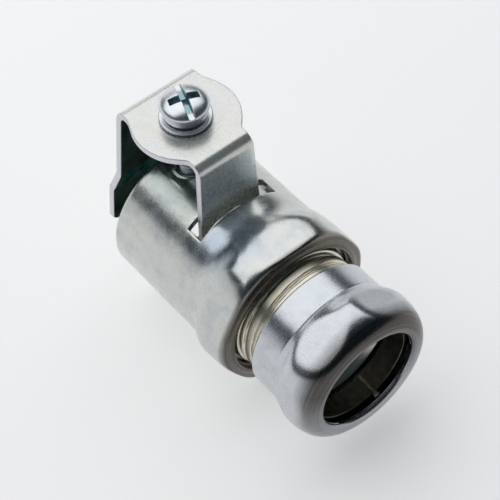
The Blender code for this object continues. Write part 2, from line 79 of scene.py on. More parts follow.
# Nipple, nut and ring
BODY_PITCH = 2.117
BODY_THREAD_START_X = 12.0
BODY_THREAD_DEPTH = 0.5
NUT_APOTHEM = 12.35
NUT_FLAT_ANGLE = 60.0
NUT_REAR_X = 15.05
NUT_SKIRT = (19.6, 12.05)
NUT_PEAK = (24.0, 13.3)
NUT_CREST = (29.5, 10.3)
NUT_LIP_X = 28.75
NUT_OPENING = 9.15
NUT_BORE = 11.3
NUT_THREAD_DEPTH = 0.40
NUT_SCRIBE_X = 20.1             # the fine line round the end of the skirt
RING_SPLIT_ANGLE = -70.0
RING_SPLIT_HALF = 1.8

# Clamp
STRAP = 1.2
PLATE_TOP_Z = 24.8
EDGE_ROUND = 0.16
FRONT_BITE_RADIUS = 7.9
REAR_ARCH_RADIUS = 7.8
REAR_ARCH_Z = -4.5
STRAP_HOLE_RADIUS = 2.5
STRAP_GRID = 0.9
PLATE_DENT = 0.10
PLATE_DENT_REACH = 3.6
OUTER_FACE, SHEARED_RIM, INNER_FACE = 0, 1, 2       # the strap's material slots

# Washer and screw
SEAT_GAP = 0.3
WASHER_THICKNESS = 0.45
WASHER_RADIUS = 4.3
WASHER_HOLE = 2.4
SCREW_SEAT_Z = PLATE_TOP_Z + WASHER_THICKNESS + 2.0 * SEAT_GAP
SCREW_PITCH = 0.79375
SCREW_LENGTH = 15.9
SHANK_RADIUS = 1.8
SHANK_NECK = 1.6
NEAR_AXIS = 0.02                # a turned outline stops this far from its axis
HEAD_RADIUS = 4.05
HEAD_HEIGHT = 3.6
HEAD_TOP_Z = SCREW_SEAT_Z + HEAD_HEIGHT
HEAD_VOXEL = 0.07
DRIVE_ANGLE = -19.0

# Camera: azimuth, elevation and roll, then lengths in millimetres
CAMERA_ANGLES = (53.9, 52.51, -4.0)
CAMERA_LENS = 122.4
CAMERA_SENSOR = 36.0
CAMERA_DISTANCE = 278.5
CAMERA_RISE = 2.75

# Floor, in metres, and the light it gives off
FLOOR_HALF = 1.6
FLOOR_Z = -0.0002
FLOOR_GLOW = 0.42

# The room round it: (height of the view direction, colour)
SKY_LOW = (0.05, (0.80, 0.81, 0.82, 1.0))
SKY_HIGH = (0.28, (0.03, 0.045, 0.055, 1.0))

# Softboxes: name, centre and aim in metres from the fitting, (width, height), radiance
SOFTBOXES = (("overhead", (-0.42, 0.05, 0.60), (-0.42, 0.05, 0.0), (0.80, 1.35), 1.25),
             ("rear", (-0.95, 0.30, 0.32), (0.0, 0.0, 0.0), (0.60, 0.30), 0.9),
             ("left", (-0.62, -0.62, 0.20), (0.0, 0.0, 0.0), (0.60, 0.16), 0.5))


# ---------------------------------------------------------------- curves and numbers

def smooth_min(a, b, blend):
    """The smaller of two arrays, rounded over where they cross."""
    h = np.clip(0.5 + 0.5 * (b - a) / blend, 0.0, 1.0)
    return b + (a - b) * h - blend * h * (1.0 - h)


def smooth_step(low, high, x):
    t = np.clip((x - low) / (high - low), 0.0, 1.0)
    return t * t * (3.0 - 2.0 * t)


def rounded_path(corners, spacing):
    """Points along a polyline of (x, y, fillet radius) corners, evenly spaced, with arcs."""
    points = [np.array(corners[0][:2], float)]
    for before, here, after in zip(corners, corners[1:], corners[2:]):
        p = np.array(here[:2], float)
        back = np.array(before[:2], float) - p
        on = np.array(after[:2], float) - p
        back /= np.linalg.norm(back)
        on /= np.linalg.norm(on)
        half = 0.5 * math.acos(max(-1.0, min(1.0, float(back @ on))))
        if here[2] == 0.0 or half > 1.55:
            points.append(p)
            continue
        reach = here[2] / math.tan(half)
        centre = p + (back + on) / np.linalg.norm(back + on) * here[2] / math.sin(half)
        start, end = p + back * reach - centre, p + on * reach - centre
        a0, a1 = math.atan2(start[1], start[0]), math.atan2(end[1], end[0])
        turn = math.remainder(a1 - a0, TAU)
        steps = max(4, int(abs(turn) * here[2] / spacing) + 1)
        for k in range(steps + 1):
            a = a0 + turn * k / steps
            points.append(centre + here[2] * np.array((math.cos(a), math.sin(a))))
    points.append(np.array(corners[-1][:2], float))
    return resample(np.array(points), spacing)


def resample(points, spacing):
    lengths = np.concatenate(([0.0], np.cumsum(np.linalg.norm(np.diff(points, axis=0), axis=1))))
    count = max(2, int(round(lengths[-1] / spacing)) + 1)
    at = np.linspace(0.0, lengths[-1], count)
    return np.stack([np.interp(at, lengths, points[:, k]) for k in (0, 1)], axis=1)


def path_normals(path):
    """Unit normals to the left of a path in the plane."""
    tangent = np.gradient(path, axis=0)
    tangent /= np.linalg.norm(tangent, axis=1)[:, None]
    return np.stack((-tangent[:, 1], tangent[:, 0]), axis=1)


def hex_limited(radius, apothem, angle, flat_angle, blend):
    """Radii cut down by six flats, with soft corners between flat and round."""
    away = np.remainder(angle - math.radians(flat_angle) + TAU / 12.0, TAU / 6.0) - TAU / 12.0
    return smooth_min(radius, apothem / np.cos(away), blend)


# ---------------------------------------------------------------- meshes

class Surface:
    """Vertices in millimetres and faces, gathered patch by patch."""

    def __init__(self):
        self.points = []
        self.faces = []
        self.count = 0

    def add(self, points):
        """Adds an array of points and gives back their numbers in the same shape."""
        points = np.asarray(points, float)
        flat = points.reshape(-1, 3)
        index = np.arange(self.count, self.count + len(flat)).reshape(points.shape[:-1])
        self.points.append(flat)
        self.count += len(flat)
        return index

    def grid(self, index, wrap=True, keep=None):
        """Quads between the rows of an index array; keep marks the ones to make."""
        rows, columns = index.shape
        last = columns if wrap else columns - 1
        for i in range(rows - 1):
            for j in range(last):
                if keep is not None and not keep[i, j]:
                    continue
                k = (j + 1) % columns
                self.faces.append((index[i, j], index[i, k], index[i + 1, k], index[i + 1, j]))

    def strip(self, first, second, closed=True):
        """Quads between two chains of vertices of one length."""
        self.grid(np.stack((first, second)), closed)

    def raw_mesh(self, name):
        """A mesh in millimetres, in the fitting's frame."""
        mesh = bpy.data.meshes.new(name)
        points = np.concatenate(self.points)
        mesh.from_pydata(points.tolist(), [], [tuple(int(v) for v in f) for f in self.faces])
        return mesh

    def mesh(self, name):
        """A mesh in metres, in the row frame."""
        mesh = self.raw_mesh(name)
        mesh.transform(Matrix.Translation(SHIFT) @ Matrix.Scale(MM, 4))
        return mesh


def revolve(path, angles, radius_of=None):
    """Points of a path of (x, radius) turned about X; radius_of(x, r, angle) may reshape it."""
    x = np.repeat(path[:, :1], len(angles), axis=1)
    r = np.repeat(path[:, 1:], len(angles), axis=1)
    a = np.repeat(angles[None, :], len(path), axis=0)
    if radius_of is not None:
        r = radius_of(x, r, a)
    return np.stack((x, r * np.cos(a), r * np.sin(a)), axis=2)


def turned_about_z(path, angles, centre_x, radius_of=None):
    """Points of a path of (height, radius) turned about a vertical line."""
    z = np.repeat(path[:, :1], len(angles), axis=1)
    r = np.repeat(path[:, 1:], len(angles), axis=1)
    a = np.repeat(angles[None, :], len(path), axis=0)
    if radius_of is not None:
        r = radius_of(z, r, a)
    return np.stack((centre_x + r * np.cos(a), r * np.sin(a), z), axis=2)


def ring_angles(count):
    return np.arange(count) * TAU / count


def faced_out(mesh):
    """The same mesh with every face turned outwards."""
    bm = bmesh.new()
    bm.from_mesh(mesh)
    bmesh.ops.recalc_face_normals(bm, faces=bm.faces)
    if bm.calc_volume(signed=True) < 0.0:
        bmesh.ops.reverse_faces(bm, faces=bm.faces)
    bm.to_mesh(mesh)
    bm.free()
    return mesh


def place_piece(name, mesh, body, node, materials, bevel=0.0, sharp=40.0):
    """Link a mesh as the piece that stands for one CAD node."""
    faced_out(mesh)
    mesh.shade_smooth()
    for material in materials:
        mesh.materials.append(material)
    piece = bpy.data.objects.new(name, mesh)
    bpy.context.scene.collection.objects.link(piece)
    if bevel:
        edge = piece.modifiers.new("edge", "BEVEL")
        edge.width = bevel * MM
        edge.segments = 2
        edge.limit_method = "ANGLE"
        edge.angle_limit = math.radians(sharp)
    weighted = piece.modifiers.new("weighted", "WEIGHTED_NORMAL")
    weighted.keep_sharp = True
    weighted.weight = 60
    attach(piece, body)
    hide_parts(node)
    return piece


# ---------------------------------------------------------------- sleeve

def sleeve_outline():
    """Outside of the drawn shell as (x, radius), from rear rim to the collar's rolled lip."""
    count = int(round((FLARE[0] - SLEEVE_REAR_X) / SLEEVE_STEP))
    straight = np.linspace(SLEEVE_REAR_X, FLARE[0], count + 1)
    barrel = np.stack((straight, np.full(len(straight), SLEEVE_RADIUS)), axis=1)
    swell = bezier(FLARE, *COLLAR_SWELL, COLLAR_PEAK)
    shoulder = bezier(COLLAR_PEAK, *COLLAR_SHOULDER, COLLAR_CREASE)
    dish = bezier(COLLAR_CREASE, *COLLAR_DISH, COLLAR_FRONT, 12)
    lip = bezier(COLLAR_FRONT, *COLLAR_LIP, COLLAR_END, 12)
    collar = resample(np.concatenate((barrel[-1:], swell, shoulder, dish, lip)), 0.2)
    return np.concatenate((barrel, collar[1:]))


def bezier(p0, c0, c1, p1, count=24):
    """Points of a cubic curve after p0, up to and with p1."""
    t = np.linspace(0.0, 1.0, count + 1)[1:, None]
    p0, c0, c1, p1 = (np.array(p, float) for p in (p0, c0, c1, p1))
    return (1 - t) ** 3 * p0 + 3 * t * (1 - t) ** 2 * c0 + 3 * t * t * (1 - t) * c1 + t ** 3 * p1


def nearest_row(path, x):
    return int(np.argmin(np.abs(path[:, 0] - x)))


def snap_rows(path, stations):
    """Move the nearest rows of the straight part onto each station."""
    path = path.copy()
    for station in stations:
        path[nearest_row(path, station), 0] = station
    return path


def surface_wave(x, angle):
    """Slight unevenness that drawing leaves in a thin shell, in millimetres."""
    return 0.018 * np.sin(0.9 * x + 2.0 * angle) + 0.014 * np.sin(3.0 * angle - 0.5 * x)


def grid_block(path, stations, half_width):
    """A block of the sleeve's grid: its first and last row, and half its number of columns."""
    rows = [nearest_row(path, x) for x in stations]
    return rows, int(round(half_width / SLEEVE_STEP))


def build_sleeve(materials):
    tap_x = (SCREW_X - TAP_PATCH_HALF, SCREW_X + TAP_PATCH_HALF)
    path = snap_rows(sleeve_outline(), (*SLOT_X, *tap_x))
    inner = path - path_normals(path) * SLEEVE_WALL
    inner[-1] = path[-1] - np.array((COLLAR_LIP_DEPTH, 0.0))
    angles = ring_angles(SLEEVE_COLUMNS) + math.pi / 2.0

    def outside(x, r, a):
        r = hex_limited(r, COLLAR_APOTHEM, a, COLLAR_FLAT_ANGLE, 0.9)
        return r + surface_wave(x, a) * smooth_step(2.0, -1.0, x)

    def inside(x, r, a):
        return hex_limited(r, COLLAR_APOTHEM - SLEEVE_WALL, a, COLLAR_FLAT_ANGLE, 0.25)

    skins = Surface()
    out = skins.add(revolve(path, angles, outside))
    inn = skins.add(revolve(inner, angles, inside))
    tap = grid_block(path, tap_x, TAP_PATCH_HALF)
    slot = grid_block(path, SLOT_X, math.radians(SLOT_HALF_ANGLE) * SLEEVE_RADIUS)
    keep = np.ones((len(path) - 1, SLEEVE_COLUMNS), bool)
    for (first, last), half in (tap, slot):
        keep[first:last, [c % SLEEVE_COLUMNS for c in range(-half, half)]] = False
    skins.grid(out, keep=keep)
    skins.grid(inn, keep=keep)
    skins.strip(out[0], inn[0])
    skins.strip(out[-1], inn[-1])
    rim = block_loop(*slot)
    skins.strip(pick(out, rim), pick(inn, rim))
    add_tapped_hole(skins, out, inn, block_loop(*tap))
    return place_piece("flex_sleeve_shell", skins.mesh("flex_sleeve_shell"), "sleeve",
                       "flex_sleeve", materials, bevel=0.14, sharp=50.0)


def block_loop(rows, half):
    """Grid places round a block of columns -half to half, as (row, column), counter-clockwise."""
    low, high = rows
    loop = [(low, c) for c in range(-half, half)]
    loop += [(r, half) for r in range(low, high)]
    loop += [(high, c) for c in range(half, -half, -1)]
    loop += [(r, -half) for r in range(high, low, -1)]
    return loop


def pick(index, loop):
    return np.array([index[r, c % index.shape[1]] for r, c in loop])


def add_tapped_hole(skins, out, inn, loop):
    """Fill the block round the screw with rings that close in to the drawn, tapped collar."""
    edge = np.concatenate(skins.points)[pick(out, loop)]
    along = edge[:, 0] - SCREW_X
    across = np.arcsin(edge[:, 1] / np.hypot(edge[:, 1], edge[:, 2])) * SLEEVE_RADIUS
    spoke = np.arctan2(across, along)
    reach = np.hypot(along, across)

    def ring(distance, height, follow=1.0):
        """A ring round the screw that follows the shell's curve (1) or lies level (0)."""
        x, s = SCREW_X + distance * np.cos(spoke), distance * np.sin(spoke)
        radius = SLEEVE_RADIUS + height
        on_shell = np.stack((x, radius * np.sin(s / SLEEVE_RADIUS),
                             radius * np.cos(s / SLEEVE_RADIUS)), axis=1)
        level = np.stack((x, s, np.full(len(x), radius)), axis=1)
        return skins.add(on_shell * follow + level * (1.0 - follow))

    chain = [pick(out, loop)]
    chain += [ring(reach + (TAP_RING - reach) * t, 0.0) for t in np.linspace(0.12, 0.9, 7)]
    chain += [ring(distance, height) for distance, height in TAP_RIM]
    for depth in np.linspace(-0.45, -TAP_DEPTH, 36):
        level = smooth_step(-0.3, -1.4, depth)
        groove = TAP_GROOVE * np.cos(TAU * (depth / SCREW_PITCH - spoke / TAU))
        groove = groove * smooth_step(-0.4, -0.8, depth)
        chain.append(ring(TAP_RADIUS - 0.12 + groove, depth, 1.0 - level))
    chain += [ring(distance, height, 0.3) for distance, height in BOSS_FOOT]
    chain += [ring(reach + (TAP_RING - reach) * t, -SLEEVE_WALL)
              for t in np.linspace(0.95, 0.1, 6)]
    chain.append(pick(inn, loop))
    for first, second in zip(chain, chain[1:]):
        skins.strip(first, second)


# ---------------------------------------------------------------- nipple, nut, ring

def thread_wave(x, angle, start, pitch, crest_share, flank):
    """1 on a right-hand thread's crest and 0 in its root; shares are of the pitch."""
    phase = np.remainder((x - start) / pitch - angle / TAU + 0.5, 1.0) - 0.5
    return smooth_step(0.5 * crest_share + flank, 0.5 * crest_share, np.abs(phase))


def turned_wall(outer, inner, angles, outside, inside=None):
    """A closed wall turned about X, between an outer path and an inner one that runs back."""
    wall = Surface()
    out = wall.add(revolve(outer, angles, outside))
    inn = wall.add(revolve(inner, angles, inside))
    wall.grid(out)
    wall.grid(inn)
    wall.strip(out[-1], inn[0])
    wall.strip(out[0], inn[-1])
    return wall


def build_nipple(materials):
    outer = rounded_path([(5.0, 12.8, 0), (9.4, 12.8, 0.4), (9.4, 11.5, 0.1), (10.8, 11.5, 0.35),
                          (11.0, 10.6, 0.1), (21.9, 10.6, 0.3), (21.9, 10.15, 0.0)], 0.11)
    inner = rounded_path([(21.9, 10.15, 0), (20.8, 9.2, 0.2), (10.6, 9.2, 0.2), (10.2, 8.2, 0.3),
                          (9.0, 8.2, 0.3), (8.6, 11.6, 0.4), (5.0, 11.6, 0)], 0.4)

    def thread(x, r, a):
        rise = smooth_step(10.9, 11.5, x) * smooth_step(21.6, 20.9, x)
        crest = thread_wave(x, a, BODY_THREAD_START_X, BODY_PITCH, 0.60, 0.13)
        return r + BODY_THREAD_DEPTH * rise * crest * (r < 10.9)

    body = turned_wall(outer, inner, ring_angles(180), thread)
    return place_piece("threaded_nipple_fine", body.mesh("threaded_nipple_fine"), "sleeve",
                       "threaded_nipple", materials, bevel=0.1, sharp=50.0)


def nut_outlines():
    """The nut's outside (skirt, swell and curled lip) and its inside, from the lip back."""
    skirt_radius, peak_radius = NUT_SKIRT[1], NUT_PEAK[1]
    rear = rounded_path([(NUT_REAR_X, 11.6, 0), (NUT_REAR_X, skirt_radius, 0.18),
                         (*NUT_SKIRT, 0)], 0.17)
    swell = bezier(NUT_SKIRT, (21.4, skirt_radius), (22.2, peak_radius), NUT_PEAK)
    shoulder = bezier(NUT_PEAK, (26.8, peak_radius), (29.4, 12.4), NUT_CREST)
    lip = bezier(NUT_CREST, (29.55, 9.6), (29.3, NUT_OPENING), (NUT_LIP_X, NUT_OPENING), 12)
    outer = resample(np.concatenate((rear, swell, shoulder, lip)), 0.17)
    inner = rounded_path([(NUT_LIP_X, NUT_OPENING, 0), (28.2, 9.25, 0.4), (28.2, 10.6, 0.7),
                          (27.2, NUT_BORE, 0.8), (15.3, NUT_BORE, 0.2), (NUT_REAR_X, 11.6, 0)],
                         0.25)
    return outer, inner


def build_nut(materials):
    outer, inner = nut_outlines()

    def outside(x, r, a):
        r = hex_limited(r, NUT_APOTHEM, a, NUT_FLAT_ANGLE, 0.5)
        scribed = 0.07 * np.exp(-((x - NUT_SCRIBE_X) / 0.16) ** 2)
        return r - scribed * smooth_step(19.0, 19.6, x) + 0.5 * surface_wave(x, a)

    def inside(x, r, a):
        crest = thread_wave(x, a, BODY_THREAD_START_X + 0.5 * BODY_PITCH, BODY_PITCH, 0.06, 0.12)
        rise = smooth_step(15.2, 15.8, x) * smooth_step(20.0, 19.2, x)
        return r - NUT_THREAD_DEPTH * crest * rise

    body = turned_wall(outer, inner, ring_angles(240), outside, inside)
    return place_piece("compression_nut_fine", body.mesh("compression_nut_fine"), "nut",
                       "compression_nut", materials, bevel=0.0)


def build_ring(materials):
    turn = np.linspace(RING_SPLIT_HALF, 360.0 - RING_SPLIT_HALF, 150)
    angles = np.radians(RING_SPLIT_ANGLE) + np.radians(turn)
    outline = rounded_path([(25.2, 9.15, 0), (23.3, 9.15, 0.1), (23.3, 9.8, 0.1),
                            (24.3, 10.75, 0.2), (26.2, 10.75, 0.2), (27.2, 9.8, 0.1),
                            (27.2, 9.15, 0.1), (25.25, 9.15, 0)], 0.12)
    body = Surface()
    index = body.add(revolve(outline, angles).transpose(1, 0, 2))
    body.grid(index)
    body.faces.append(tuple(index[0]))
    body.faces.append(tuple(index[-1][::-1]))
    return place_piece("compression_ring_fine", body.mesh("compression_ring_fine"), "ring",
                       "compression_ring", materials, bevel=0.08, sharp=50.0)


# ---------------------------------------------------------------- clamp

class Strap:
    """The strap's outer face as a path in the XZ plane, from the rear tip to the front tip."""

    rear_x = -8.6
    front_x = 10.2
    joggle = 2.0                # how far the rear leg steps back
    joggle_z = (6.0, 10.9)
    joggle_round = 1.6
    bend_round = 2.0
    rear_tip_z = -1.5
    front_tip_z = 7.8
    front_bite_rise = 3.2
    front_bite_z = front_tip_z + front_bite_rise - FRONT_BITE_RADIUS
    plate_radius = 8.9
    rear_half = (7.3, 10.6)     # half widths at the plate and at the tip
    front_half = (5.3, 6.0)
    foot_corner = 0.8

    def __init__(self):
        rear, front, top = self.rear_x, self.front_x, PLATE_TOP_Z
        back = rear - self.joggle
        low, high = self.joggle_z
        corners = [(back, self.rear_tip_z, 0), (back, low, self.joggle_round),
                   (rear, high, self.joggle_round), (rear, top, self.bend_round),
                   (front, top, self.bend_round), (front, self.front_tip_z, 0)]
        self.path = rounded_path(corners, 0.1)
        steps = np.linalg.norm(np.diff(self.path, axis=0), axis=1)
        self.at = np.concatenate(([0.0], np.cumsum(steps)))
        self.normals = path_normals(self.path)
        self.length = float(self.at[-1])
        on_plate = self.path[:, 1] >= top - 0.01
        from_screw = np.where(on_plate, np.abs(self.path[:, 0]), np.inf)
        self.screw_at = float(self.at[np.argmin(from_screw)])

    def point(self, s):
        return np.array([np.interp(s, self.at, self.path[:, k]) for k in (0, 1)])

    def fold(self, s, y, depth):
        """A point of the flat strap, depth below its outer face, in the fitting's frame."""
        x, z = self.point(s)
        nx, nz = (np.interp(s, self.at, self.normals[:, k]) for k in (0, 1))
        size = math.hypot(nx, nz)
        return (SCREW_X + x - depth * nx / size, y, z - depth * nz / size)

    def half_width(self, s):
        """Half the strap's width: flared rear leg, disc round the screw, narrower front leg."""
        z = self.point(s)[1]
        from_screw = s - self.screw_at
        rearward = from_screw < 0.0
        at_plate, at_tip = self.rear_half if rearward else self.front_half
        tip_z = self.rear_tip_z if rearward else self.front_tip_z
        leg = at_plate + (at_tip - at_plate) * ((PLATE_TOP_Z - z) / (PLATE_TOP_Z - tip_z))
        disc = math.sqrt(max(0.0, self.plate_radius ** 2 - from_screw ** 2))
        wide = -float(smooth_min(np.array(-leg), np.array(-disc), 0.9))
        corner = min(1.0, s / self.foot_corner)
        return wide - self.foot_corner * (1.0 - corner)


def strap_outline(strap):
    """The flat strap's outline as (along, across), counter-clockwise from the rear tip."""
    side = [(s, strap.half_width(s)) for s in np.linspace(0.0, strap.length, 260)]
    front = end_arc(side[-1][1], FRONT_BITE_RADIUS, strap.front_bite_z, strap.front_tip_z)
    rear = end_arc(side[0][1], REAR_ARCH_RADIUS, REAR_ARCH_Z, strap.rear_tip_z)
    right = [(s, -w) for s, w in side]
    left = [(s, w) for s, w in reversed(side)]
    tip = [(strap.length - rise, y) for y, rise in front]
    foot = [(rise, -y) for y, rise in rear]
    return right + tip + left + foot


def end_arc(half, radius, centre_z, tip_z):
    """(across, rise) along the arc bitten out of a leg's end, and the flat on both its sides."""
    reach = math.sqrt(radius ** 2 - (tip_z - centre_z) ** 2)
    reach = min(reach, half - 0.3)
    arc = np.linspace(-reach, reach, 48)
    rises = centre_z + np.sqrt(radius ** 2 - arc ** 2) - tip_z
    return list(zip(arc, np.maximum(rises, 0.0)))


def hole_outline(strap):
    """The screw hole, clockwise so that the metal is on its left."""
    radius = STRAP_HOLE_RADIUS
    return [(strap.screw_at + radius * math.cos(a), -radius * math.sin(a))
            for a in ring_angles(64)]


def flat_strap(rims):
    """The strap before it is bent: two faces with rounded, sheared rims between them."""
    bm = bmesh.new()
    for depth in (0.0, STRAP):
        edges = []
        for rim in rims:
            loop = [bm.verts.new((s, y, -depth)) for s, y in inset(rim, EDGE_ROUND)]
            edges += [bm.edges.new(pair) for pair in zip(loop, loop[1:] + loop[:1])]
        sheet = bmesh.ops.triangle_fill(bm, use_beauty=True, use_dissolve=False, edges=edges)
        for face in sheet["geom"]:
            if isinstance(face, bmesh.types.BMFace):
                face.material_index = OUTER_FACE if depth == 0.0 else INNER_FACE
    for rim in rims:
        rows = [[bm.verts.new((s, y, -depth)) for s, y in inset(rim, cut)]
                for cut, depth in rim_section()]
        for this, after in zip(rows, rows[1:]):
            for a, b, c, d in zip(this, this[1:] + this[:1], after[1:] + after[:1], after):
                bm.faces.new((a, b, c, d)).material_index = SHEARED_RIM
    bmesh.ops.remove_doubles(bm, verts=bm.verts, dist=1e-5)
    return bm


def build_clamp(materials):
    """The strap is made flat with rounded rims, cut across at the bends, and then folded."""
    strap = Strap()
    bm = flat_strap([strap_outline(strap), hole_outline(strap)])
    cut_across(bm, strap)
    for vert in bm.verts:
        s, y, depth = vert.co.x, vert.co.y, -vert.co.z
        sag = plate_dent(s - strap.screw_at, y)
        vert.co = Vector(strap.fold(s, y, depth + sag)) * MM + SHIFT
    mesh = bpy.data.meshes.new("saddle_clamp_strap")
    bm.to_mesh(mesh)
    bm.free()
    return place_piece("saddle_clamp_strap", mesh, "saddle", "saddle_clamp",
                       materials)


def rim_section():
    """(inset, depth) pairs down a sheared rim, from the top face round to the bottom face."""
    quarter = [0.5 * math.pi * k / 3 for k in range(4)]
    upper = [(EDGE_ROUND * (1.0 - math.sin(a)), EDGE_ROUND * (1.0 - math.cos(a))) for a in quarter]
    return upper + [(cut, STRAP - depth) for cut, depth in reversed(upper)]


def inset(outline, distance):
    """A closed outline moved into the metal by a distance; the metal is on its left."""
    points = np.array(outline, float)
    onward = np.roll(points, -1, axis=0) - np.roll(points, 1, axis=0)
    onward /= np.linalg.norm(onward, axis=1)[:, None]
    return points + distance * np.stack((-onward[:, 1], onward[:, 0]), axis=1)


def cut_across(bm, strap):
    """Cut the flat strap where it will bend, and into a coarse grid elsewhere."""
    turning = np.abs(np.gradient(np.arctan2(strap.normals[:, 1], strap.normals[:, 0]))) > 1e-3
    stations = list(strap.at[turning][::2])
    stations += list(np.arange(STRAP_GRID, strap.length, STRAP_GRID))
    planes = [((s, 0.0, 0.0), (1.0, 0.0, 0.0)) for s in stations]
    planes += [((0.0, y, 0.0), (0.0, 1.0, 0.0)) for y in np.arange(-9.9, 10.0, STRAP_GRID)]
    for point, normal in planes:
        geometry = bm.verts[:] + bm.edges[:] + bm.faces[:]
        bmesh.ops.bisect_plane(bm, geom=geometry, plane_co=point, plane_no=normal, dist=1e-5)


def plate_dent(x, y):
    """The plate sags a little towards the screw hole on both of its faces."""
    return PLATE_DENT * math.exp(-(math.hypot(x, y) / PLATE_DENT_REACH) ** 2)


# ---------------------------------------------------------------- washer and screw

def build_washer(materials):
    low = PLATE_TOP_Z + SEAT_GAP
    high = low + WASHER_THICKNESS
    outline = rounded_path([(high, 3.3, 0), (high, WASHER_RADIUS, 0.2),
                            (low, WASHER_RADIUS, 0.12), (low, WASHER_HOLE, 0.1),
                            (high, WASHER_HOLE, 0.15), (high, 3.25, 0)], 0.06)
    body = Surface()
    index = body.add(turned_about_z(outline, ring_angles(128), SCREW_X))
    body.grid(index)
    body.strip(index[-1], index[0])
    return place_piece("screw_washer_fine", body.mesh("screw_washer_fine"), "saddle",
                       "screw_washer", materials)


def build_screw(materials):
    seat = SCREW_SEAT_Z
    tip = seat - SCREW_LENGTH
    shank = rounded_path([(tip, NEAR_AXIS, 0), (tip, 1.4, 0.1), (tip + 0.6, SHANK_RADIUS, 0.3),
                          (seat - 0.9, SHANK_RADIUS, 0.1), (seat - 0.4, SHANK_NECK, 0.2),
                          (seat + 0.4, SHANK_NECK, 0.0)], 0.066)

    def thread(z, r, a):
        phase = np.remainder((z - tip - 0.9) / SCREW_PITCH - a / TAU + 0.5, 1.0) - 0.5
        tooth = 1.0 - 2.0 * np.abs(phase)
        rise = smooth_step(tip + 0.1, tip + 1.0, z) * smooth_step(seat - 0.7, seat - 1.3, z)
        return r + rise * (0.44 * tooth - 0.2)

    body = Surface()
    index = body.add(turned_about_z(shank, ring_angles(64), SCREW_X, thread))
    body.grid(index)
    body.faces.append(tuple(index[0]))
    body.faces.append(tuple(index[-1][::-1]))
    place_piece("clamp_screw_shank", body.mesh("clamp_screw_shank"), "screw", "clamp_screw",
                materials)
    return build_head(seat, materials)


def build_head(seat, materials):
    """The head with its recess, cut and softened in millimetres before it becomes a piece."""
    top = seat + HEAD_HEIGHT
    widest = (seat + 2.0, HEAD_RADIUS)
    side = rounded_path([(seat, NEAR_AXIS, 0), (seat, 3.5, 0.25), (seat + 1.85, 3.98, 0.3),
                         (*widest, 0)], 0.12)
    crown = bezier(widest, (seat + 2.8, HEAD_RADIUS), (top, 2.6), (top, NEAR_AXIS), 40)
    dome = resample(np.concatenate((side, crown)), 0.12)
    solid = Surface()
    index = solid.add(turned_about_z(dome, ring_angles(120), 0.0))
    solid.grid(index)
    solid.faces.append(tuple(index[0]))
    solid.faces.append(tuple(index[-1][::-1]))
    head = link_helper("head_blank", faced_out(solid.raw_mesh("head_blank")))
    for cutter in drive_cutters(top):
        cut = head.modifiers.new("drive", "BOOLEAN")
        cut.operation = "DIFFERENCE"
        cut.object = cutter
    remesh = head.modifiers.new("plated", "REMESH")
    remesh.mode = "VOXEL"
    remesh.voxel_size = HEAD_VOXEL
    soften = head.modifiers.new("soften", "SMOOTH")
    soften.factor = 0.6
    soften.iterations = 4
    mesh = bake_helper(head)
    to_row = Matrix.Translation(SHIFT) @ Matrix.Scale(MM, 4)
    mesh.transform(to_row @ Matrix.Translation((SCREW_X, 0.0, 0.0)))
    mesh.name = "clamp_screw_head"
    return place_piece("clamp_screw_head", mesh, "screw", "clamp_screw", materials)


def link_helper(name, mesh):
    helper = bpy.data.objects.new(name, mesh)
    bpy.context.scene.collection.objects.link(helper)
    return helper


def bake_helper(helper):
    """The helper's mesh with its modifiers applied; the helper and its cutters go away."""
    cutters = [m.object for m in helper.modifiers if m.type == "BOOLEAN"]
    graph = bpy.context.evaluated_depsgraph_get()
    mesh = bpy.data.meshes.new_from_object(helper.evaluated_get(graph))
    for spent in (helper, *cutters):
        bpy.data.objects.remove(spent)
    return mesh


def drive_cutters(top):
    """The full-width slot and the shorter cross slot with sloping ends."""
    slot = drive_cutter("drive_slot", top, (5.5, 5.5), (0.60, 0.50), 1.3, DRIVE_ANGLE)
    cross = drive_cutter("drive_cross", top, (2.5, 1.5), (0.74, 0.52), 1.9, DRIVE_ANGLE + 90.0)
    return [slot, cross]


def drive_cutter(name, top, half_long, half_wide, depth, angle):
    """A bar across the head's top, narrowing from (top, floor) half sizes to its floor."""
    bm = bmesh.new()
    rows = []
    for z, long, wide in ((top + 1.0, half_long[0], half_wide[0]),
                          (top - 0.6, half_long[0], 0.5 * sum(half_wide)),
                          (top - depth, half_long[1], half_wide[1])):
        rows.append([bm.verts.new((x, y, z)) for x, y in
                     ((-long, -wide), (long, -wide), (long, wide), (-long, wide))])
    for upper, lower in zip(rows, rows[1:]):
        for k in range(4):
            m = (k + 1) % 4
            bm.faces.new((upper[k], upper[m], lower[m], lower[k]))
    bm.faces.new(rows[0][::-1])
    bm.faces.new(rows[-1])
    turn = Matrix.Rotation(math.radians(angle), 4, "Z")
    bmesh.ops.transform(bm, matrix=turn, verts=bm.verts)
    bmesh.ops.recalc_face_normals(bm, faces=bm.faces)
    mesh = bpy.data.meshes.new(name)
    bm.to_mesh(mesh)
    bm.free()
    return link_helper(name, mesh)


# ---------------------------------------------------------------- materials

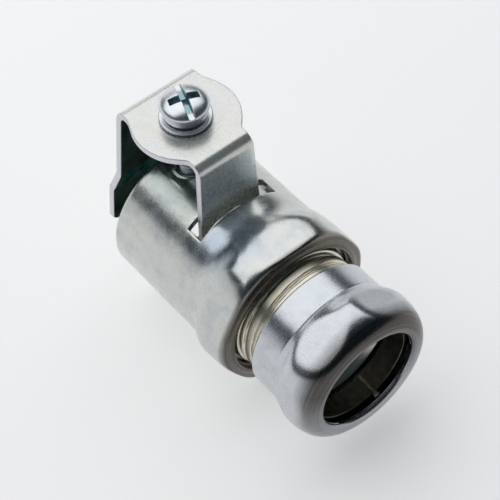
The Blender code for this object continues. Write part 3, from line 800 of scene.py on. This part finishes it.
class Nodes:
    """Short calls for building a shader graph on the fitting's own coordinates, in millimetres."""

    def __init__(self, name, metallic=1.0):
        self.material = bpy.data.materials.new(name)
        self.material.use_nodes = True
        self.tree = self.material.node_tree
        self.shader = self.tree.nodes["Principled BSDF"]
        self.shader.inputs["Metallic"].default_value = metallic
        coordinates = self.tree.nodes.new("ShaderNodeTexCoord")
        centred = self.vector_math("SUBTRACT", coordinates.outputs["Object"], tuple(SHIFT))
        self.place = self.vector_math("SCALE", centred)
        self.place.node.inputs["Scale"].default_value = 1.0 / MM
        split = self.tree.nodes.new("ShaderNodeSeparateXYZ")
        self.link(self.place, split.inputs[0])
        self.x, self.y, self.z = split.outputs

    def link(self, source, target):
        self.tree.links.new(source, target)

    def vector_math(self, operation, *values):
        node = self.tree.nodes.new("ShaderNodeVectorMath")
        node.operation = operation
        self.fill(node, values)
        return node.outputs[0]

    def math(self, operation, *values):
        node = self.tree.nodes.new("ShaderNodeMath")
        node.operation = operation
        self.fill(node, values)
        return node.outputs[0]

    def fill(self, node, values):
        for socket, value in zip(node.inputs, values):
            if isinstance(value, bpy.types.NodeSocket):
                self.link(value, socket)
            else:
                socket.default_value = value

    def stretched(self, scale):
        """Coordinates squeezed per axis, so that noise runs in streaks."""
        return self.vector_math("MULTIPLY", self.place, scale)

    def noise(self, vector, scale, detail=3.0, roughness=0.55, distortion=0.0):
        node = self.tree.nodes.new("ShaderNodeTexNoise")
        self.link(vector, node.inputs["Vector"])
        node.inputs["Scale"].default_value = scale
        node.inputs["Detail"].default_value = detail
        node.inputs["Roughness"].default_value = roughness
        node.inputs["Distortion"].default_value = distortion
        return node.outputs["Fac"]

    def ramp(self, value, stops):
        """Colour or grey by value; stops are (position, colour or grey)."""
        node = self.tree.nodes.new("ShaderNodeValToRGB")
        elements = node.color_ramp.elements
        while len(elements) < len(stops):
            elements.new(0.5)
        for element, (position, colour) in zip(elements, stops):
            element.position = position
            element.color = (colour,) * 3 + (1.0,) if isinstance(colour, float) else (*colour, 1.0)
        self.link(value, node.inputs["Fac"])
        return node.outputs["Color"]

    def mix(self, factor, first, second):
        node = self.tree.nodes.new("ShaderNodeMix")
        node.data_type = "RGBA"
        for socket, value in ((node.inputs["Factor"], factor), (node.inputs[6], first),
                              (node.inputs[7], second)):
            if isinstance(value, bpy.types.NodeSocket):
                self.link(value, socket)
            elif isinstance(value, tuple):
                socket.default_value = (*value, 1.0)
            else:
                socket.default_value = value
        return node.outputs[2]

    def map_range(self, value, low, high, to_low, to_high):
        node = self.tree.nodes.new("ShaderNodeMapRange")
        self.fill(node, (value, low, high, to_low, to_high))
        return node.outputs[0]

    def bump(self, height, strength, distance):
        node = self.tree.nodes.new("ShaderNodeBump")
        node.inputs["Strength"].default_value = strength
        node.inputs["Distance"].default_value = distance * MM
        self.link(height, node.inputs["Height"])
        return node.outputs["Normal"]

    def pits(self, scale, size):
        """Small round pits: 0 on most of the surface, 1 in a pit."""
        node = self.tree.nodes.new("ShaderNodeTexVoronoi")
        self.link(self.place, node.inputs["Vector"])
        node.inputs["Scale"].default_value = scale
        node.inputs["Randomness"].default_value = 1.0
        return self.map_range(node.outputs["Distance"], size, 0.4 * size, 0.0, 1.0)

    def from_axis(self):
        """Distance from the conduit's axis, in millimetres."""
        return self.math("SQRT", self.math("ADD", self.math("MULTIPLY", self.y, self.y),
                                           self.math("MULTIPLY", self.z, self.z)))

    def combine_radius(self):
        """Coordinates that only change with distance from the axis, for concentric marks."""
        node = self.tree.nodes.new("ShaderNodeCombineXYZ")
        self.link(self.from_axis(), node.inputs[0])
        self.link(self.x, node.inputs[1])
        return node.outputs[0]

    def finish(self, colour, roughness, normal):
        self.link(colour, self.shader.inputs["Base Color"])
        self.link(roughness, self.shader.inputs["Roughness"])
        self.link(normal, self.shader.inputs["Normal"])
        return self.material


def clamp_shade_mask(n):
    """Mask for painted shade on the sleeve's top between the clamp's legs, where little light gets
    in.
    """
    along = n.math("MULTIPLY", n.map_range(n.x, SCREW_X - 8.5, SCREW_X - 6.0, 0.0, 1.0),
                   n.map_range(n.x, SCREW_X + 9.0, SCREW_X + 7.0, 0.0, 1.0))
    return n.math("MULTIPLY", along, n.map_range(n.z, 11.0, 12.8, 0.0, 0.6))


def collar_front(n):
    """1 on the collar's front, its lip and what lies inside them, 0 on the flats."""
    rolled = n.math("MULTIPLY", n.map_range(n.x, 7.2, 8.6, 0.0, 1.0),
                    n.map_range(n.from_axis(), 13.8, 13.5, 0.0, 1.0))
    return n.math("MAXIMUM", rolled, n.map_range(n.x, 10.1, 11.05, 0.0, 1.0))


def zinc_shell():
    """Bright zinc on drawn steel: soft blotches, faint streaks along the axis, specks and pits,
    with painted shade under the clamp, a painted blue reflection and a painted brown reflection
    over turning rings on the collar's front.
    """
    n = Nodes("zinc_shell")
    cloud = n.noise(n.place, 0.22, 4.0)
    blotch = n.noise(n.place, 0.55, 3.0, 0.5, 0.4)
    streak = n.noise(n.stretched((0.25, 1.6, 1.6)), 1.2, 4.0, 0.6)
    fine = n.noise(n.place, 5.0, 4.0, 0.6)
    pit = n.math("MULTIPLY", n.pits(0.55, 0.10), n.ramp(cloud, ((0.45, 0.0), (0.62, 1.0))))
    tint = n.ramp(cloud, ((0.30, (0.50, 0.53, 0.55)), (0.46, (0.59, 0.60, 0.59)),
                          (0.56, (0.60, 0.61, 0.57)), (0.74, (0.54, 0.57, 0.61))))
    tint = n.mix(n.ramp(blotch, ((0.50, 0.0), (0.75, 0.35))), tint, (0.44, 0.47, 0.51))
    # Painted reflection: a bluish tint round one spot of the sleeve's crown, standing in for dark
    # bluish surroundings seen in the metal.
    blue_reflection_distance = n.vector_math("DISTANCE", n.place, BLUE_REFLECTION_CENTRE).node.outputs["Value"]
    tint = n.mix(n.map_range(blue_reflection_distance, 7.0, 2.5, 0.0, 0.6), tint, (0.37, 0.45, 0.58))
    tint = n.mix(n.ramp(streak, ((0.50, 0.0), (0.8, 0.15))), tint, (0.46, 0.47, 0.49))
    tint = n.mix(n.math("MULTIPLY", pit, 0.7), tint, (0.20, 0.20, 0.21))
    # Painted shade: a dark greenish tint on the sleeve under the clamp.
    tint = n.mix(clamp_shade_mask(n), tint, (0.20, 0.27, 0.24))
    speck = n.pits(1.3, 0.055)
    tint = n.mix(n.math("MULTIPLY", speck, 0.6), tint, (0.90, 0.92, 0.95))
    # Painted reflection: the collar's front and lip turn dark brown for warm surroundings seen in
    # the metal, over real concentric tool marks.
    lip = collar_front(n)
    rings = n.noise(n.combine_radius(), 3.0, 3.0, 0.7)
    brown_reflection_rings = n.ramp(rings, ((0.36, (0.03, 0.025, 0.02)), (0.54, (0.11, 0.09, 0.07)),
                           (0.70, (0.27, 0.24, 0.20))))
    tint = n.mix(n.math("MULTIPLY", lip, 0.9), tint, brown_reflection_rings)
    rough = n.map_range(blotch, 0.3, 0.75, 0.19, 0.30)
    rough = n.math("ADD", rough, n.map_range(fine, 0.3, 0.8, -0.02, 0.06))
    height = n.math("ADD", n.math("MULTIPLY", streak, 0.08), n.math("MULTIPLY", fine, 0.35))
    height = n.math("ADD", height, n.math("MULTIPLY", blotch, 1.6))
    height = n.math("SUBTRACT", height, n.math("MULTIPLY", pit, 2.5))
    height = n.math("ADD", height, n.math("MULTIPLY", n.math("MULTIPLY", rings, lip), 3.0))
    return n.finish(tint, rough, n.bump(height, 0.55, 0.03))


def zinc_nut():
    """Zinc on the spun nut: smooth flats, and a lip painted dark brown as a reflection of warm
    surroundings, stronger towards the top, over real concentric tool marks.
    """
    n = Nodes("zinc_nut")
    cloud = n.noise(n.place, 0.3, 4.0)
    fine = n.noise(n.place, 4.0, 4.0, 0.6)
    rings = n.noise(n.combine_radius(), 2.6, 3.0, 0.7)
    # Painted reflection: dark brown on the nut's front, stronger towards the top.
    front = n.math("MULTIPLY", n.map_range(n.x, 25.4, 28.0, 0.0, 1.0),
                   n.map_range(n.z, -8.0, 5.0, 0.35, 1.0))
    tint = n.ramp(cloud, ((0.30, (0.50, 0.53, 0.565)), (0.55, (0.60, 0.62, 0.65)),
                          (0.75, (0.54, 0.57, 0.62))))
    brown_reflection_rings = n.ramp(rings, ((0.35, (0.02, 0.017, 0.014)), (0.52, (0.07, 0.058, 0.05)),
                           (0.68, (0.17, 0.15, 0.14))))
    tint = n.mix(n.math("MULTIPLY", front, 0.92), tint, brown_reflection_rings)
    pit = n.pits(0.6, 0.09)
    tint = n.mix(n.math("MULTIPLY", pit, 0.4), tint, (0.25, 0.25, 0.26))
    rough = n.map_range(fine, 0.3, 0.8, 0.20, 0.32)
    height = n.math("ADD", n.math("MULTIPLY", fine, 0.5),
                    n.math("MULTIPLY", n.math("MULTIPLY", rings, front), 1.8))
    return n.finish(tint, rough, n.bump(height, 0.5, 0.03))


def warm_zinc():
    """Pale yellow zinc on the nipple, with turning marks round the axis."""
    n = Nodes("warm_zinc")
    cloud = n.noise(n.place, 0.35, 4.0)
    turning = n.noise(n.combine_radius(), 5.0, 3.0, 0.7)
    tint = n.ramp(cloud, ((0.30, (0.62, 0.58, 0.44)), (0.5, (0.74, 0.71, 0.60)),
                          (0.70, (0.66, 0.64, 0.60))))
    tint = n.mix(n.ramp(turning, ((0.4, 0.0), (0.7, 0.4))), tint, (0.46, 0.42, 0.32))
    rough = n.map_range(turning, 0.3, 0.7, 0.22, 0.38)
    return n.finish(tint, rough, n.bump(turning, 0.4, 0.02))


def ring_steel():
    """Dull steel inside the nut, its tint darkened further as painted shade of the bore."""
    n = Nodes("ring_steel")
    cloud = n.noise(n.place, 0.8, 4.0)
    # Painted shade: the tint is kept very dark for the shade inside the nut's bore.
    tint = n.ramp(cloud, ((0.3, (0.10, 0.10, 0.09)), (0.7, (0.20, 0.19, 0.17))))
    rough = n.map_range(cloud, 0.3, 0.7, 0.30, 0.48)
    return n.finish(tint, rough, n.bump(n.noise(n.place, 6.0), 0.4, 0.02))


def zinc_strap():
    """Zinc on the stamped strap, faintly iridescent, with handling marks; the front leg's lighter
    bluish tint is partly iridescence and partly painted light.
    """
    n = Nodes("zinc_strap", metallic=0.72)
    cloud = n.noise(n.place, 0.25, 3.0, 0.5, 0.6)
    fine = n.noise(n.place, 1.6, 3.0, 0.5)
    tint = n.ramp(cloud, ((0.25, (0.68, 0.71, 0.74)), (0.42, (0.74, 0.74, 0.73)),
                          (0.55, (0.75, 0.74, 0.70)), (0.66, (0.70, 0.73, 0.70)),
                          (0.80, (0.66, 0.69, 0.73))))
    # The front leg's bluish tint: partly iridescent plating, partly painted light that brightens
    # the leg, strongest low on the leg.
    front_leg_tint_and_light = n.math("MULTIPLY", n.map_range(n.z, 23.6, 20.0, 0.0, 0.7),
                       n.map_range(n.x, SCREW_X + 8.0, SCREW_X + 9.5, 0.0, 1.0))
    tint = n.mix(front_leg_tint_and_light, tint, (0.70, 0.80, 0.83))
    scratch = n.noise(n.stretched((1.6, 0.15, 0.15)), 2.2, 4.0, 0.7, 0.5)
    tint = n.mix(n.ramp(scratch, ((0.60, 0.0), (0.78, 0.35))), tint, (0.45, 0.46, 0.47))
    rough = n.map_range(fine, 0.3, 0.8, 0.24, 0.34)
    height = n.math("ADD", n.math("MULTIPLY", fine, 0.04), n.math("MULTIPLY", cloud, 3.0))
    return n.finish(tint, rough, n.bump(height, 0.4, 0.03))


def shaded_zinc():
    """The strap's inner faces: a dark greenish copy of the zinc with a dim specular tint, painted
    as the shade inside the clamp.
    """
    n = Nodes("shaded_zinc")
    cloud = n.noise(n.place, 0.4, 4.0)
    # Painted shade: dark greenish tint and dim specular tint for the clamp's inside.
    n.shader.inputs["Specular Tint"].default_value = (0.12, 0.16, 0.16, 1.0)
    tint = n.ramp(cloud, ((0.30, (0.08, 0.12, 0.12)), (0.50, (0.12, 0.18, 0.17)),
                          (0.70, (0.19, 0.23, 0.20))))
    rough = n.map_range(cloud, 0.3, 0.7, 0.30, 0.42)
    return n.finish(tint, rough, n.bump(n.noise(n.place, 3.2), 0.3, 0.02))


def sheared_edge():
    """The strap's sheared rim: lighter, rougher, a touch lilac."""
    n = Nodes("sheared_edge")
    grain = n.noise(n.stretched((1.0, 1.0, 0.4)), 3.0, 4.0, 0.7)
    tint = n.ramp(grain, ((0.3, (0.60, 0.60, 0.64)), (0.7, (0.78, 0.77, 0.80))))
    rough = n.map_range(grain, 0.3, 0.7, 0.38, 0.55)
    return n.finish(tint, rough, n.bump(grain, 0.5, 0.04))


def screw_zinc():
    """Clear bright zinc on the screw and washer, with painted shade: darker and bluer down in the
    recess.
    """
    n = Nodes("screw_zinc")
    cloud = n.noise(n.place, 0.7, 4.0)
    fine = n.noise(n.place, 6.0, 4.0, 0.6)
    tint = n.ramp(cloud, ((0.3, (0.66, 0.70, 0.74)), (0.7, (0.76, 0.77, 0.79))))
    out = n.math("SUBTRACT", n.x, SCREW_X)
    reach = n.math("SQRT", n.math("ADD", n.math("MULTIPLY", out, out),
                                  n.math("MULTIPLY", n.y, n.y)))
    top = HEAD_TOP_Z
    # Painted shade: a dark bluish tint down in the drive recess.
    recess_shade = n.math("MULTIPLY", n.map_range(n.z, top - 0.45, top - 0.75, 0.0, 1.0),
                  n.map_range(n.z, top - 2.3, top - 2.2, 0.0, 1.0))
    recess_shade = n.math("MULTIPLY", recess_shade, n.map_range(reach, 2.9, 2.4, 0.0, 0.9))
    tint = n.mix(recess_shade, tint, (0.25, 0.38, 0.43))
    rough = n.map_range(fine, 0.3, 0.8, 0.25, 0.36)
    return n.finish(tint, rough, n.bump(fine, 0.35, 0.015))


# ---------------------------------------------------------------- stage

def add_floor():
    mesh = bpy.data.meshes.new("floor")
    half = FLOOR_HALF
    mesh.from_pydata([(-half, -half, 0), (half, -half, 0), (half, half, 0), (-half, half, 0)],
                     [], [(0, 1, 2, 3)])
    floor = bpy.data.objects.new("floor", mesh)
    floor.location.z = FLOOR_Z
    bpy.context.scene.collection.objects.link(floor)
    material = bpy.data.materials.new("pale_floor")
    material.use_nodes = True
    shader = material.node_tree.nodes["Principled BSDF"]
    shader.inputs["Base Color"].default_value = (0.90, 0.90, 0.90, 1.0)
    shader.inputs["Roughness"].default_value = 0.9
    shader.inputs["Specular IOR Level"].default_value = 0.1
    shader.inputs["Emission Color"].default_value = (1.0, 1.0, 1.0, 1.0)
    shader.inputs["Emission Strength"].default_value = FLOOR_GLOW
    mesh.materials.append(material)


def add_softbox(name, centre, aim, size, radiance):
    """A rectangular softbox at a place, in metres from the fitting, that faces another place."""
    light = bpy.data.lights.new(name, "AREA")
    light.shape = "RECTANGLE"
    light.size, light.size_y = size
    light.energy = radiance * math.pi * size[0] * size[1]
    lamp = bpy.data.objects.new(name, light)
    lamp.location = SHIFT + Vector(centre)
    away = Vector(centre) - Vector(aim)
    lamp.rotation_euler = away.to_track_quat("Z", "Y").to_euler()
    bpy.context.scene.collection.objects.link(lamp)


def add_world():
    world = bpy.data.worlds.new("studio")
    bpy.context.scene.world = world
    world.use_nodes = True
    tree = world.node_tree
    background = tree.nodes["Background"]
    direction = tree.nodes.new("ShaderNodeTexCoord")
    split = tree.nodes.new("ShaderNodeSeparateXYZ")
    sky = tree.nodes.new("ShaderNodeValToRGB")
    tree.links.new(direction.outputs["Generated"], split.inputs[0])
    tree.links.new(split.outputs["Z"], sky.inputs["Fac"])
    tree.links.new(sky.outputs["Color"], background.inputs["Color"])
    low, high = sky.color_ramp.elements
    low.position, low.color = SKY_LOW
    high.position, high.color = SKY_HIGH


def add_camera():
    """The camera looks down at the nut's end, turned a few degrees about its own axis."""
    azimuth, elevation, roll = (math.radians(a) for a in CAMERA_ANGLES)
    back = Vector((math.sin(azimuth) * math.cos(elevation),
                   -math.cos(azimuth) * math.cos(elevation), math.sin(elevation)))
    level = Vector((math.cos(azimuth), math.sin(azimuth), 0.0))
    right = level * math.cos(roll) + back.cross(level) * math.sin(roll)
    up = back.cross(right)
    data = bpy.data.cameras.new("camera")
    data.sensor_width = CAMERA_SENSOR
    data.lens = CAMERA_LENS
    data.clip_start = 0.01
    camera = bpy.data.objects.new("camera", data)
    turn = Matrix((right, up, back)).transposed().to_4x4()
    turn.translation = SHIFT + up * CAMERA_RISE * MM + back * CAMERA_DISTANCE * MM
    camera.matrix_world = turn
    bpy.context.scene.collection.objects.link(camera)
    bpy.context.scene.camera = camera


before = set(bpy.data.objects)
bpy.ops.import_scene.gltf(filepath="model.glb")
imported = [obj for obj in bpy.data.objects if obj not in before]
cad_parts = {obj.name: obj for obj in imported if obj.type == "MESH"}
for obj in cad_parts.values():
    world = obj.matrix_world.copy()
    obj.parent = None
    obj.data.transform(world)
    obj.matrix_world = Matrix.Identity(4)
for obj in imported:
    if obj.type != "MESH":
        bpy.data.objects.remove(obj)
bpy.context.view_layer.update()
nipple_low, nipple_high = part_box("threaded_nipple")
sleeve_low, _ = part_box("flex_sleeve")
SHIFT = Vector((sleeve_low.x - SLEEVE_REAR_X * MM, 0.0, 0.5 * (nipple_low.z + nipple_high.z)))

build_sleeve([zinc_shell()])
build_nipple([warm_zinc()])
build_nut([zinc_nut()])
build_ring([ring_steel()])
build_clamp([zinc_strap(), sheared_edge(), shaded_zinc()])
bright = screw_zinc()
build_washer([bright])
build_screw([bright])

add_floor()
add_world()
for softbox in SOFTBOXES:
    add_softbox(*softbox)
add_camera()
bpy.context.scene.view_settings.view_transform = "Standard"
